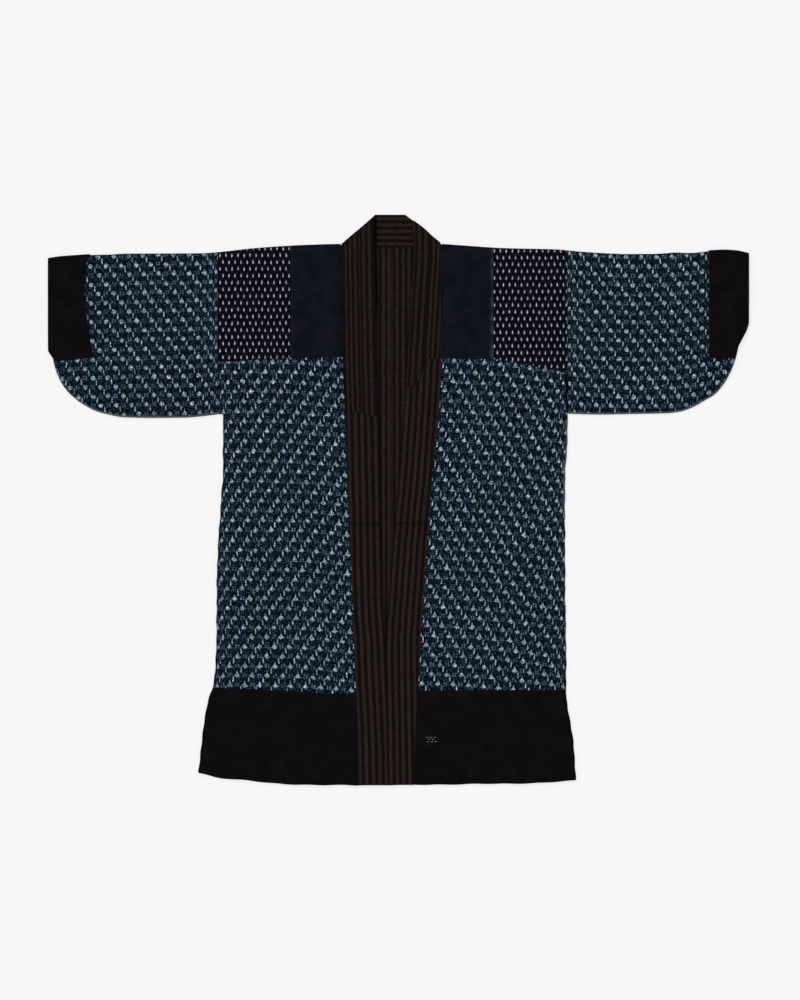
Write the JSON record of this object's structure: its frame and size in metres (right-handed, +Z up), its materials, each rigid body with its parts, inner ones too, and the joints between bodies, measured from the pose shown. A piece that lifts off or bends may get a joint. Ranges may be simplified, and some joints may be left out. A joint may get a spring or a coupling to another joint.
{
  "type": "noragi jacket",
  "caption": "Patched indigo cotton farm jacket laid flat, with tubular sleeves, a dark hem and cuffs, shoulder patches and a striped collar band down its open front.",
  "frame": {"origin": "centre of the garment's outline on the surface that it lies on", "axes": "+X along the sleeves, towards the right-hand sleeve as seen from above; +Y from the hem to the collar; +Z up out of the surface"},
  "size_m": [1.248, 1.016, 0.0095],
  "materials": {
    "kasuri_cotton": "handwoven indigo cotton with a pale ikat figure, matt",
    "dotted_cotton": "blue-black cotton with small white ikat dots, matt",
    "navy_cotton": "plain indigo cotton, matt",
    "black_cotton": "plain black cotton, matt",
    "striped_cotton": "brown and black striped cotton, matt"
  },
  "bodies": {
    "root": {"front_left": "kasuri_cotton", "front_right": "kasuri_cotton", "back_left": "kasuri_cotton", "back_right": "kasuri_cotton", "sleeve_left": "kasuri_cotton", "sleeve_right": "kasuri_cotton", "yoke_dots_left": "dotted_cotton", "yoke_dots_right": "dotted_cotton", "yoke_navy_left": "navy_cotton", "yoke_navy_right": "navy_cotton", "front_hem_left": "black_cotton", "front_hem_right": "black_cotton", "back_hem_left": "black_cotton", "back_hem_right": "black_cotton", "cuff_left": "black_cotton", "cuff_right": "black_cotton", "collar_left": "striped_cotton", "collar_right": "striped_cotton", "collar_cover_left": "striped_cotton", "collar_cover_right": "striped_cotton", "collar_neck": "striped_cotton", "back_lining": "striped_cotton"}
  },
  "joints": []
}
